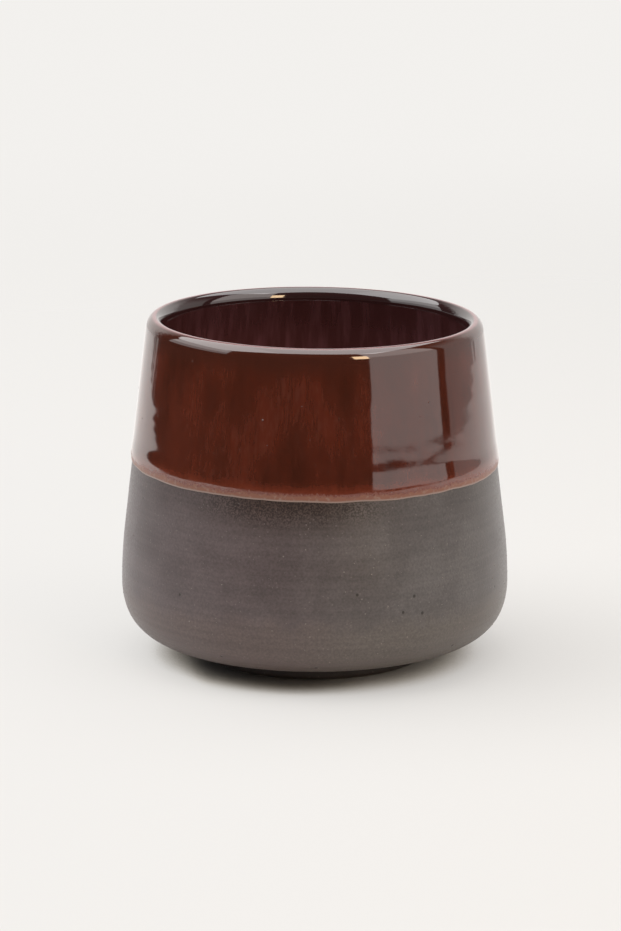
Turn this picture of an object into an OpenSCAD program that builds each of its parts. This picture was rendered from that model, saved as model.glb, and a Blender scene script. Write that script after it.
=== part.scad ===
// Handleless espresso cup: a thrown and turned stoneware body, dark glaze dipped over its
// lip and upper outside, and the same glaze poured inside. Millimetres, +Z up, with the
// origin on the axis in the plane that the foot ring rests on.

/* [Cup] */
// Height from the resting plane to the top of the glazed lip
cup_height = 61.4; // [52:0.1:80]
// Diameter over the glazed lip
rim_diameter = 60.3; // [50:0.1:68]
// Diameter at the widest point, low on the body
belly_diameter = 69.7; // [64:0.1:84]

/* [Outside curve] */
// Radius of the long curve that brings the straight wall down to the widest point
shoulder_curve = 85; // [20:1:120]
// Radius of the curve just below the widest point
belly_curve = 13; // [9:0.1:30]
// Angle below the widest point at which the heel curve takes over
belly_turn = 19; // [6:0.1:40]
// Radius of the heel curve that brings the wall round to the underside
heel_curve = 8; // [4:0.1:11]
// Slope of the underside, rising from the foot ring to the heel
underside_slope = 8.8; // [2:0.1:20]

/* [Foot ring] */
// Outer diameter of the foot ring
foot_diameter = 41.4; // [32:0.1:48]
// Height of the foot ring's outer face
foot_height = 2.6; // [1.5:0.1:6]
// Width of the foot ring
foot_width = 3.6; // [2.5:0.1:7]
// Depth of the turned hollow inside the foot ring
foot_hollow = 1.9; // [1.2:0.1:4]
// Rounding of the foot ring's two resting edges
foot_edge = 0.6; // [0.2:0.1:1]
// Radius of the curve between the foot ring and the hollow
hollow_curve = 1.1; // [0.3:0.1:3]

/* [Clay wall] */
// Thickness of the bare clay at the lip
lip_thickness = 2.5; // [1.8:0.1:4]
// Radius of the lip's outer and inner sides
lip_curve = 2; // [1.4:0.1:2.8]
// Angle above level at which the lip's narrow top takes over from its sides
lip_turn = 50; // [30:1:60]
// Thickness of the clay wall, from the widest outside to the widest inside
wall_thickness = 3.2; // [2.4:0.1:5]
// Thickness of the floor over the foot's hollow
floor_thickness = 4.2; // [2.5:0.1:8]
// Radius of the curve between the inside wall and the floor
floor_curve = 11; // [5:0.5:18]

/* [Glaze] */
// Thickness of the glaze on the lip and the outside
outer_glaze_thickness = 0.3; // [0.2:0.05:0.6]
// Thickness of the glaze inside
liner_glaze_thickness = 0.3; // [0.2:0.05:0.6]
// Height of the outer glaze's lower edge
glaze_line = 35.3; // [20:0.1:50]
// Height over which the outer glaze rolls in to the clay at that edge
glaze_roll = 1.8; // [0.6:0.1:5]

/* [Hidden] */

$fn = 180;
// How far the chords that stand for an arc may lie inside it
arc_sag = 0.006;
// Chords along the rolled edge of the outer glaze
roll_steps = 8;

clay_colour = [0.38, 0.35, 0.33];
outer_glaze_colour = [0.28, 0.13, 0.09];
liner_glaze_colour = [0.18, 0.09, 0.09];

lip_half = lip_thickness / 2;
belly_radius = belly_diameter / 2;
foot_radius = foot_diameter / 2;
hollow_radius = foot_radius - foot_width;
floor_height = foot_hollow + floor_thickness;

// The underside leaves the top of the foot ring at its slope and runs into the heel curve
curve_step = belly_curve - heel_curve;
heel_r = belly_radius - belly_curve + curve_step * cos(belly_turn);
underside_run = heel_r + heel_curve * sin(underside_slope) - foot_radius;
underside_top = foot_height + underside_run * tan(underside_slope);
heel_z = underside_top + heel_curve * cos(underside_slope);

// Centres of the profile's curves, as [radius, height]
heel_centre = [heel_r, heel_z];
belly_z = heel_z + curve_step * sin(belly_turn);
belly_centre = [belly_radius - belly_curve, belly_z];
shoulder_centre = [belly_radius - shoulder_curve, belly_z];
crown_step = (lip_curve - lip_half) / cos(lip_turn);
crown_radius = lip_curve - crown_step;
crown_centre = [
    rim_diameter / 2 - outer_glaze_thickness - lip_half,
    cup_height - outer_glaze_thickness - crown_radius];
outer_lip_centre = crown_centre - crown_step * [cos(lip_turn), sin(lip_turn)];
inner_lip_centre = crown_centre - crown_step * [-cos(lip_turn), sin(lip_turn)];
floor_curve_centre = [belly_radius - wall_thickness - floor_curve, floor_height + floor_curve];

// Directions that the straight outside and inside walls face, each wall tangent to two curves
shoulder_to_lip = outer_lip_centre - shoulder_centre;
outside_facing = atan2(shoulder_to_lip[1], shoulder_to_lip[0])
    - acos((shoulder_curve - lip_curve) / norm(shoulder_to_lip));
lip_to_floor = floor_curve_centre - inner_lip_centre;
inside_facing = 360 + atan2(lip_to_floor[1], lip_to_floor[0])
    - acos((lip_curve + floor_curve) / norm(lip_to_floor));

// A station is a point of the clay's surface and the direction it faces: [radius, height, facing]
function point(station) = [station[0], station[1]];
function raised(station, depth) = point(station) + depth * [cos(station[2]), sin(station[2])];
function last(list) = list[len(list) - 1];
function reversed(list) = [for (i = [len(list) - 1:-1:0]) list[i]];

// Points of an arc, and the stations of an arc that bulges out of the clay or is hollowed into it
function sweep(radius, from, to) =
    let (steps = max(2, ceil(abs(to - from) / (2 * acos(1 - arc_sag / radius)))))
    [for (i = [0:steps]) from + (to - from) * i / steps];
function arc(centre, radius, from, to) =
    [for (a = sweep(radius, from, to)) centre + radius * [cos(a), sin(a)]];
function bulging_arc(centre, radius, from, to) =
    [for (a = sweep(radius, from, to)) concat(centre + radius * [cos(a), sin(a)], a)];
function hollow_arc(centre, radius, from, to) =
    [for (a = sweep(radius, from, to)) concat(centre + radius * [cos(a), sin(a)], a + 180)];

// The clay's surface: up the outside, over the lip, and down inside to the middle of the floor
outside_wall = concat(
    bulging_arc(heel_centre, heel_curve, underside_slope - 90, -belly_turn),
    bulging_arc(belly_centre, belly_curve, -belly_turn, 0),
    bulging_arc(shoulder_centre, shoulder_curve, 0, outside_facing));
lip = concat(
    bulging_arc(outer_lip_centre, lip_curve, outside_facing, lip_turn),
    bulging_arc(crown_centre, crown_radius, lip_turn, 180 - lip_turn),
    bulging_arc(inner_lip_centre, lip_curve, 180 - lip_turn, inside_facing));
inside_wall = concat(
    [last(lip)],
    hollow_arc(floor_curve_centre, floor_curve, inside_facing - 180, -90),
    [[0, floor_height, 90]]);

// The station on the outside at a height below the lip
outside_below_lip = concat(outside_wall, [lip[0]]);
function outside_at(height) = [
    lookup(height, [for (s = outside_below_lip) [s[1], s[0]]]),
    height,
    lookup(height, [for (s = outside_below_lip) [s[1], s[2]]])];

// The outer glaze swells from nothing at its lower edge to full thickness, as a quarter of an ellipse
roll_angles = [for (i = [0:roll_steps]) 90 * i / roll_steps];
edge_heights = [for (a = roll_angles) glaze_line + glaze_roll * (1 - cos(a))];
edge_depths = [for (a = roll_angles) outer_glaze_thickness * sin(a)];

// The outside in three runs: bare clay, the glaze's rolled edge, and glaze of full thickness
bare_run = [for (s = outside_wall) if (s[1] < glaze_line) s];
edge_run = [for (height = edge_heights) outside_at(height)];
full_run = concat([for (s = outside_wall) if (s[1] > last(edge_heights)) s], lip);

// A coat of glaze that lies on a run of stations, as deep at each one as depths says
module coat(stations, depths) {
    under = [for (s = stations) point(s)];
    over = [for (i = [0:len(stations) - 1]) if (depths[i] > 0) raised(stations[i], depths[i])];
    rotate_extrude() polygon(concat(under, reversed(over)));
}

module clay_body() {
    hollow_bend = min(hollow_curve, foot_hollow - foot_edge);
    foot = concat(
        [[0, foot_hollow]],
        arc([hollow_radius - hollow_bend, foot_hollow - hollow_bend], hollow_bend, 90, 0),
        arc([hollow_radius + foot_edge, foot_edge], foot_edge, 180, 270),
        arc([foot_radius - foot_edge, foot_edge], foot_edge, -90, 0),
        [[foot_radius, foot_height]]);
    surface = [for (s = concat(bare_run, edge_run, full_run, inside_wall)) point(s)];
    color(clay_colour) rotate_extrude() polygon(concat(foot, surface));
}

module outer_glaze() {
    full_depths = [for (s = full_run) outer_glaze_thickness];
    color(outer_glaze_colour) coat(concat(edge_run, full_run), concat(edge_depths, full_depths));
}

module liner_glaze() {
    color(liner_glaze_colour) coat(inside_wall, [for (s = inside_wall) liner_glaze_thickness]);
}

clay_body();
outer_glaze();
liner_glaze();
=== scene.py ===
"""Dresses a handleless espresso cup: turned clay, dipped outer glaze, poured liner and a pale studio.

Lengths are in metres and angles in radians, in the frame of the packed model: +Z up, with the origin
on the cup's axis in the plane that the foot ring rests on.
"""

import math
from typing import NamedTuple

import bpy
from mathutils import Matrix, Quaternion, Vector


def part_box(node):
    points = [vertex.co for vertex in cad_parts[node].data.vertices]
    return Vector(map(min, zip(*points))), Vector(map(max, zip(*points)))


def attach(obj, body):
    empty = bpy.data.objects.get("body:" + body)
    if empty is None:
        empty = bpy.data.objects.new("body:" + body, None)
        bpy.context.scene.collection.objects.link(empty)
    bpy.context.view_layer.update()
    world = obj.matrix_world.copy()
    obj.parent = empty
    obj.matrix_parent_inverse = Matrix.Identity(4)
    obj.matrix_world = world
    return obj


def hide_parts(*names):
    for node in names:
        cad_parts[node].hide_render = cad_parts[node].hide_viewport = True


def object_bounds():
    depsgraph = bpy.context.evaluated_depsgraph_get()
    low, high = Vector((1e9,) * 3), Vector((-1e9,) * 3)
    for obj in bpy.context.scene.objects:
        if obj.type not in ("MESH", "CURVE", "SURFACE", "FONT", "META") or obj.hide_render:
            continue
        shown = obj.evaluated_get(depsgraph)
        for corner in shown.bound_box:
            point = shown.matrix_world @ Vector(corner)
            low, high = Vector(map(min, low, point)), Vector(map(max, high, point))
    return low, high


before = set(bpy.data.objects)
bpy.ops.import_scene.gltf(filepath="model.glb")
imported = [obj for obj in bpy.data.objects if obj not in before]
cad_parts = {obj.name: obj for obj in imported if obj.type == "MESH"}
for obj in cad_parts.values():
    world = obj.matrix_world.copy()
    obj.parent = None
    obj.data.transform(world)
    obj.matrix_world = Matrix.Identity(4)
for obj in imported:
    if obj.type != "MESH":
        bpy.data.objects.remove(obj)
cad_low, cad_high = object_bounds()
outer_low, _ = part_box("outer_glaze")
liner_low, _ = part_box("liner_glaze")

bl_info = {
    "name": "Espresso cup",
    "version": (1, 0, 0),
    "blender": (4, 5, 0),
    "location": "3D View > Sidebar > Cup",
    "description": "Turns, glazes and lights a handleless stoneware espresso cup",
    "category": "Object",
}

MM = 0.001
PICTURE_HEIGHT = 931
BODY = "root"
GLAZE_IOR = 1.8
WHITE = (1.0, 1.0, 1.0)


class Spacing:
    """Distances between the stations of the profiles, finer where they show."""

    FOOT = 0.3 * MM
    BARE_CLAY = 0.24 * MM
    HIDDEN_CLAY = 1.5 * MM
    CLAY_LIP = 0.4 * MM
    OUTER_GLAZE = 0.33 * MM
    GLAZE_LIP = 0.06 * MM
    LINER = 0.7 * MM
    # Heights above the glaze line where the bare clay's stations end and the hidden clay's begin
    BARE_TOP = 1 * MM
    HIDDEN_FOOT = 2 * MM
    # How close to a crisp corner the next station stands
    GLAZE_BRACE = 0.005 * MM
    LINER_BRACE = 0.03 * MM
    # How far a glaze sinks into the clay, and how many of its upper stations share one below
    BITE = 0.05 * MM
    UNDER_STEP = 3
    # Chords along the rolled edge of the outer glaze
    ROLL_STEPS = 24
    # Points closer than this become one
    MERGE = 0.0005 * MM


# Kinds of setting

def length(name, description, default):
    """A setting in metres."""
    return bpy.props.FloatProperty(
        name=name, description=description, default=default, unit="LENGTH", precision=5)


def angle(name, description, degrees):
    """A setting in radians, given here in degrees."""
    return bpy.props.FloatProperty(
        name=name, description=description, default=math.radians(degrees), subtype="ANGLE")


def factor(name, description, default):
    """A setting from 0 to 1."""
    return bpy.props.FloatProperty(
        name=name, description=description, default=default, min=0.0, max=1.0, subtype="FACTOR")


def amount(name, description, default):
    """A plain number."""
    return bpy.props.FloatProperty(name=name, description=description, default=default, precision=4)


def count(name, description, default):
    """A whole number."""
    return bpy.props.IntProperty(name=name, description=description, default=default, min=1)


def colour(name, description, red, green, blue):
    """A linear colour."""
    return bpy.props.FloatVectorProperty(
        name=name, description=description, default=(red, green, blue), size=3,
        min=0.0, max=1.0, subtype="COLOR")


def place(name, description, x, y, z):
    """A point in metres."""
    return bpy.props.FloatVectorProperty(
        name=name, description=description, default=(x, y, z), size=3, subtype="TRANSLATION")


# Settings

class CupShape(bpy.types.PropertyGroup):
    """Sizes of the cup, as its construction has them."""

    cup_height: length("Cup height", "From the resting plane to the top of the glazed lip", cad_high.z)
    rim_diameter: length("Rim diameter", "Diameter over the glazed lip", 60.3 * MM)
    belly_diameter: length("Belly diameter", "Diameter at the widest point", cad_high.x - cad_low.x)
    shoulder_curve: length("Shoulder curve", "Radius of the long curve above the widest point", 85 * MM)
    belly_curve: length("Belly curve", "Radius of the curve just below the widest point", 13 * MM)
    belly_turn: angle("Belly turn", "Angle below the widest point where the heel takes over", 19.0)
    heel_curve: length("Heel curve", "Radius of the curve round to the underside", 8 * MM)
    underside_slope: angle("Underside slope", "Rise of the underside from foot to heel", 8.8)
    foot_diameter: length("Foot diameter", "Outer diameter of the foot ring", 41.4 * MM)
    foot_height: length("Foot height", "Height of the foot ring's outer face", 2.6 * MM)
    foot_width: length("Foot width", "Width of the foot ring", 3.6 * MM)
    foot_hollow: length("Foot hollow", "Depth of the turned hollow in the foot", 1.9 * MM)
    foot_edge: length("Foot edge", "Rounding of the ring's resting edges", 0.6 * MM)
    foot_fillet: length("Foot fillet", "Curve between the ring and the underside", 0.5 * MM)
    hollow_curve: length("Hollow curve", "Curve between the ring and the hollow", 1.1 * MM)
    lip_thickness: length("Lip thickness", "Thickness of the clay at the lip", 2.5 * MM)
    lip_curve: length("Lip curve", "Radius of the lip's two sides", 2 * MM)
    lip_turn: angle("Lip turn", "Facing at which the lip's narrow top takes over from its sides", 50.0)
    wall_thickness: length("Wall thickness", "Thickness of the clay wall", 3.2 * MM)
    floor_height: length("Floor height", "Height of the clay floor inside", liner_low.z)
    floor_curve: length("Floor curve", "Curve between the inside wall and the floor", 11 * MM)
    glaze_thickness: length("Glaze thickness", "Thickness of both glazes", 0.3 * MM)
    glaze_line: length("Glaze line", "Height of the outer glaze's lower edge", outer_low.z)
    glaze_roll: length("Glaze roll", "Height over which the glaze rolls in to the clay", 1.8 * MM)
    bead_depth: length("Bead depth", "How much thicker the glaze gathers above its edge", 0.10 * MM)
    bead_height: length("Bead height", "Height over which it gathers", 5 * MM)
    trim_height: length("Trim height", "Height up to which the outside was turned", 16 * MM)


class WheelMarks(bpy.types.PropertyGroup):
    """What throwing, turning and dipping left on the surfaces."""

    steps_round: count("Steps round", "Facets round the cup", 288)
    wobble_depth: length("Wobble depth", "How far the wall strays from round", 0.10 * MM)
    wobble_size: length("Wobble size", "Size of the wall's slow swells", 38 * MM)
    lip_lean: angle("Lip lean", "How far the lip and the glaze line dip on the right", 0.60)
    line_depth: length("Line depth", "Depth of the turning lines", 0.035 * MM)
    line_spacing: length("Line spacing", "Distance between turning lines", 0.75 * MM)
    ring_depth: length("Ring depth", "Depth of the throwing rings", 0.03 * MM)
    ring_spacing: length("Ring spacing", "Distance between throwing rings", 6.5 * MM)
    ripple_depth: length("Ripple depth", "Depth of the glaze's own ripple", 0.03 * MM)
    ripple_size: length("Ripple size", "Size of the glaze's ripples", 8 * MM)
    edge_wave: length("Edge wave", "How far the glaze line strays up and down", 0.30 * MM)
    edge_wave_size: length("Edge wave size", "Distance between swells of the glaze line", 7 * MM)
    grog_density: amount("Grog density", "Grains of grog on a square metre of bare clay", 110000)
    grog_smallest: length("Smallest grog", "Radius of the smallest grain", 0.05 * MM)
    grog_largest: length("Largest grog", "Radius of the largest grain", 0.16 * MM)
    blister_density: amount("Blister density", "Blisters on a square metre of outer glaze", 12000)
    blister_smallest: length("Smallest blister", "Radius of the smallest blister", 0.08 * MM)
    blister_largest: length("Largest blister", "Radius of the largest blister", 0.24 * MM)
    seed: count("Seed", "Seed of everything scattered", 7)


class Finish(bpy.types.PropertyGroup):
    """Colours of the clay and the two glazes."""

    clay: colour("Clay", "Bare fired clay", 0.0700, 0.0606, 0.0583)
    clay_pale: colour("Pale clay", "Paler parts of the bare clay", 0.0874, 0.0774, 0.0746)
    clay_warm: colour("Warm clay", "Turned clay low on the cup", 0.0995, 0.0842, 0.0737)
    clay_smoke: colour("Smoked clay", "Clay darkened below the glaze line", 0.035, 0.0245, 0.0195)
    # The two side tints are partly the clay's own colour and partly painted light: darker and pinker on the
    # left, brighter on the right
    tint_and_shade_left: colour("Left tint", "Tint of the clay on the left", 0.98, 0.845, 0.880)
    tint_and_light_right: colour("Right tint", "Tint of the clay on the right", 0.975, 1.0, 1.0)
    grog: colour("Grog", "Grains in the clay", 0.19, 0.163, 0.150)
    # Colour of the small pits, also used for the painted shade on the foot ring
    pit_and_foot_shade: colour("Pit", "Small pits in the clay", 0.022, 0.018, 0.016)
    glaze: colour("Glaze", "Outer glaze where it is thick", 0.039, 0.0076, 0.0027)
    glaze_red: colour("Red glaze", "Redder streaks and clouds of the outer glaze", 0.079, 0.0138, 0.0055)
    glaze_haze: colour("Hazy glaze", "Milky flecks and streaks of the outer glaze", 0.110, 0.0360, 0.0250)
    glaze_lip: colour("Glaze at the lip", "Outer glaze near the lip", 0.046, 0.0112, 0.0058)
    lip_top: colour("Top of the lip", "Glaze over the inner side of the lip", 0.024, 0.0085, 0.0085)
    lip_break: colour("Breaking glaze", "Glaze where it breaks over the top of the lip", 0.150, 0.050, 0.052)
    glaze_thin: colour("Thin glaze", "Outer glaze where it thins above its edge", 0.118, 0.0240, 0.0112)
    edge_band: colour("Edge band", "Thinnest glaze along its lower edge", 0.180, 0.071, 0.043)
    # Pale tone of the thinnest glaze, also used as a painted reflection of the floor along the rolled edge
    edge_bead_and_reflection: colour("Edge bead", "Rolled bead at the very edge", 0.235, 0.168, 0.140)
    liner: colour("Liner", "Glaze inside the cup", 0.079, 0.0248, 0.0246)
    liner_streak: colour("Liner streak", "Purple streaks of the liner", 0.130, 0.0470, 0.0510)


class Studio(bpy.types.PropertyGroup):
    """Camera, lamps, floor and background."""

    camera_distance: length("Camera distance", "From the lens to the point it looks at", 0.7)
    camera_pitch: angle("Camera pitch", "How far the camera looks down", 13.315)
    camera_roll: angle("Camera roll", "Turn of the camera about its view", 0.10)
    aim_height: length("Aim height", "Height of the point that the camera looks at", 34.1 * MM)
    focal_pixels: amount("Focal length", "Focal length in pixels of the picture", 3891.7)
    right_pixels: amount("Shift", "How far right of the middle the axis stands, in pixels", 4.35)
    backdrop: colour("Backdrop", "Pale background and floor", 0.893, 0.876, 0.852)
    shadow: colour("Shadow", "Tint of the floor in deep shade", 0.94, 0.82, 0.66)
    backdrop_level: amount("Backdrop level", "Light from the backdrop on the cup", 1.25)
    floor: colour("Floor", "Floor under the cup", 0.72, 0.705, 0.69)
    lift_left: factor("Lift on the left", "Share of the floor's brightness that only near things shade", 0.70)
    lift_right: factor("Lift on the right", "The same share on the right", 0.46)
    floor_reach: length("Floor reach", "How near a thing shades that share", 0.022)
    paper_front: length("Paper front", "How far the floor's sheet reaches to the front", 0.20)
    paper_left: length("Paper left", "How far it reaches to the left, level with the axis", 0.423)
    left_slant: amount("Left slant", "How fast its left side comes in towards the back", 0.319)
    paper_right: length("Paper right", "How far it reaches to the right, level with the axis", 0.70)
    right_slant: amount("Right slant", "How fast its right side comes in towards the back", 1.0)
    paper_curl: length("Paper curl", "How far the sheet's sides stray", 0.03)
    floor_level: amount("Floor level", "Light on the open floor, where 1 is plain", 1.8)
    floor_radius: length("Floor radius", "Radius of the floor", 0.80)
    floor_far: length("Far floor", "Radius where the floor has faded into the background", 0.62)
    floor_near: length("Near floor", "Radius within which the floor is solid", 0.16)
    drape: amount("Drape", "How unevenly the backdrop's sides hang", 0.5)
    room: amount("Room", "Brightness of the room behind the camera", 0.035)
    overhead_low: place("Overhead start", "Left front corner of the lamps overhead", -1.2, -0.535, 0.81)
    overhead_size: place("Overhead size", "Size of the two lamps overhead together", 1.8, 1.185, 0.0)
    overhead_split: length("Overhead split", "Where the two lamps overhead meet", -0.30)
    overhead_light: amount("Overhead light", "Radiance of the larger lamp overhead", 3.0)
    upper_left_light: amount("Upper left light", "Radiance of the overhead lamp on the left", 3.5)
    left_light: amount("Left light", "Radiance of the panel on the left", 0.95)
    left_upper_light: amount("Left upper light", "Radiance of the panel above it", 1.9)
    right_tilt: angle("Right tilt", "How far the lower panel on the right leans over to the back", 3.1)
    right_light: amount("Right light", "Radiance of the panel on the right", 1.12)
    right_tone: colour("Right tone", "Colour of the two panels on the right", 1.0, 0.93, 0.90)
    right_upper_light: amount("Right upper light", "Radiance of the panel above it", 1.9)
    warm_light: amount("Warm light", "Radiance of the small warm lamp", 10.0)
    warm: colour("Warm", "Colour of the small warm lamp", 1.0, 0.70, 0.42)


SETTINGS = {"cup_shape": CupShape, "cup_marks": WheelMarks, "cup_finish": Finish, "cup_studio": Studio}


# Nodes

class Nodes:
    """Short ways to add nodes to one tree and to link them."""

    MIX_FACTOR, MIX_FIRST, MIX_SECOND, MIX_RESULT = 0, 6, 7, 2

    def __init__(self, tree):
        self.tree = tree

    def feed(self, socket, value):
        """Links a socket to an output, or sets its own value."""
        if isinstance(value, bpy.types.NodeSocket):
            self.tree.links.new(value, socket)
        else:
            socket.default_value = value

    def add(self, kind, inputs=None, output=0, **options):
        """Adds a node, sets its options and inputs, and returns one of its outputs."""
        made = self.tree.nodes.new(kind)
        for option, value in options.items():
            setattr(made, option, value)
        for key, value in (inputs or {}).items():
            self.feed(made.inputs[key], value)
        return made.outputs[output]

    def maths(self, operation, *values):
        """A sum of one kind on one, two or three values."""
        return self.add("ShaderNodeMath", dict(enumerate(values)), operation=operation)

    def product(self, first, *others):
        """All the values multiplied."""
        for other in others:
            first = self.maths("MULTIPLY", first, other)
        return first

    def total(self, first, *others):
        """All the values added."""
        for other in others:
            first = self.maths("ADD", first, other)
        return first

    def largest(self, first, *others):
        """The largest of the values."""
        for other in others:
            first = self.maths("MAXIMUM", first, other)
        return first

    def rise(self, value, start, stop, low=0.0, high=1.0):
        """A smooth step from low to high as the value goes from start to stop."""
        return self.add(
            "ShaderNodeMapRange",
            {"Value": value, "From Min": start, "From Max": stop, "To Min": low, "To Max": high},
            interpolation_type="SMOOTHSTEP")

    def xyz(self, x, y, z):
        """A vector from its three parts."""
        return self.add("ShaderNodeCombineXYZ", {"X": x, "Y": y, "Z": z})

    def parts(self, vector):
        """The three parts of a vector."""
        made = self.tree.nodes.new("ShaderNodeSeparateXYZ")
        self.feed(made.inputs["Vector"], vector)
        return made.outputs["X"], made.outputs["Y"], made.outputs["Z"]

    def level_distance(self, x, y):
        """Distance from the axis."""
        return self.maths("SQRT", self.total(self.product(x, x), self.product(y, y)))

    def scaled(self, vector, by):
        """A vector or colour times a number."""
        return self.add("ShaderNodeVectorMath", {"Vector": vector, "Scale": by}, operation="SCALE")

    def tinted(self, first, second):
        """Two vectors or colours multiplied part by part."""
        return self.add("ShaderNodeVectorMath", {0: first, 1: second}, operation="MULTIPLY")

    def noise(self, vector, size=1.0, detail=2.0, roughness=0.5):
        """Soft noise from 0 to 1 whose patches are about as large as size."""
        return self.add(
            "ShaderNodeTexNoise",
            {"Vector": vector, "Scale": 1.0 / size, "Detail": detail, "Roughness": roughness})

    def drawn_noise(self, vector, across, up, **options):
        """Soft noise with so many patches to the metre across and up."""
        return self.noise(self.tinted(vector, (across, across, up)), **options)

    def stray(self, noise, reach):
        """Noise moved to lie about zero, half of reach to either side."""
        return self.product(self.total(noise, -0.5), reach)

    def cells(self, vector, size):
        """Distance to the nearest of many scattered points, in cell sizes, and that point's own number."""
        made = self.tree.nodes.new("ShaderNodeTexVoronoi")
        self.feed(made.inputs["Vector"], vector)
        made.inputs["Scale"].default_value = 1.0 / size
        own = self.parts(made.outputs["Color"])[0]
        return made.outputs["Distance"], own

    def blend(self, share, first, second):
        """One colour turning into another as share goes from 0 to 1."""
        return self.add(
            "ShaderNodeMix",
            {self.MIX_FACTOR: share, self.MIX_FIRST: rgba(first), self.MIX_SECOND: rgba(second)},
            output=self.MIX_RESULT, data_type="RGBA")

    def attribute(self, name):
        """A number kept on the mesh."""
        return self.add("ShaderNodeAttribute", output="Fac", attribute_name=name)

    def bumped(self, height, strength, distance):
        """A normal that leans as height does."""
        return self.add(
            "ShaderNodeBump", {"Height": height, "Strength": strength, "Distance": distance}, "Normal")

    def camera_ray(self):
        """1 for what the camera sees by itself, and 0 for light and reflections."""
        return self.add("ShaderNodeLightPath", output="Is Camera Ray")


def rgba(value):
    """A colour setting as a socket takes it, or a link as it is."""
    if isinstance(value, bpy.types.NodeSocket):
        return value
    return (*value, 1.0)


# Profile

class Station(NamedTuple):
    """A point of a profile and the direction that the surface faces there."""

    radius: float
    height: float
    facing: float

    def raised(self, depth):
        """The station moved out along its facing."""
        return Station(
            self.radius + depth * math.cos(self.facing),
            self.height + depth * math.sin(self.facing),
            self.facing)


def steps_between(start, stop, steps):
    """Evenly spaced numbers from start to stop."""
    return [start + (stop - start) * i / steps for i in range(steps + 1)]


def gap(first, second):
    """Distance between two stations."""
    return math.hypot(second.radius - first.radius, second.height - first.height)


def between(first, second, share):
    """The station that lies a share of the way from one to another."""
    return Station(*(a + (b - a) * share for a, b in zip(first, second)))


def bulging_arc(centre, radius, start, stop, spacing):
    """Stations of an arc that bulges out of the clay."""
    steps = max(4, math.ceil(abs(stop - start) * radius / spacing))
    return [
        Station(centre[0] + radius * math.cos(a), centre[1] + radius * math.sin(a), a)
        for a in steps_between(start, stop, steps)]


def turned(stations, by):
    """The stations with their facings turned, as a hollow or a whole turn needs."""
    return [s._replace(facing=s.facing + by) for s in stations]


def hollow_arc(centre, radius, start, stop, spacing):
    """Stations of an arc that is hollowed into the clay."""
    return turned(bulging_arc(centre, radius, start, stop, spacing), math.pi)


def filled(stations, spacing):
    """The stations with others put in where two lie further apart than spacing."""
    made = [stations[0]]
    for station in stations[1:]:
        before = made[-1]
        steps = max(1, math.ceil(gap(before, station) / spacing))
        made.extend(between(before, station, share) for share in steps_between(0.0, 1.0, steps)[1:])
    return made


def braced(stations, distance):
    """The stations with one more close to the first, so that the corner there stays crisp."""
    first, second = stations[:2]
    return [first, between(first, second, distance / gap(first, second)), *stations[1:]]


def at_height(stations, height):
    """The station at a height on a rising run of stations."""
    for low, high in zip(stations, stations[1:]):
        if low.height <= height <= high.height and high.height > low.height:
            return between(low, high, (height - low.height) / (high.height - low.height))
    raise ValueError(f"no station at height {height}")


def tangent_facing(first, second, step):
    """Direction faced by a line that touches two curves, from their centres and the step in radius."""
    across, up = second[0] - first[0], second[1] - first[1]
    return math.atan2(up, across) - math.acos(step / math.hypot(across, up))


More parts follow.
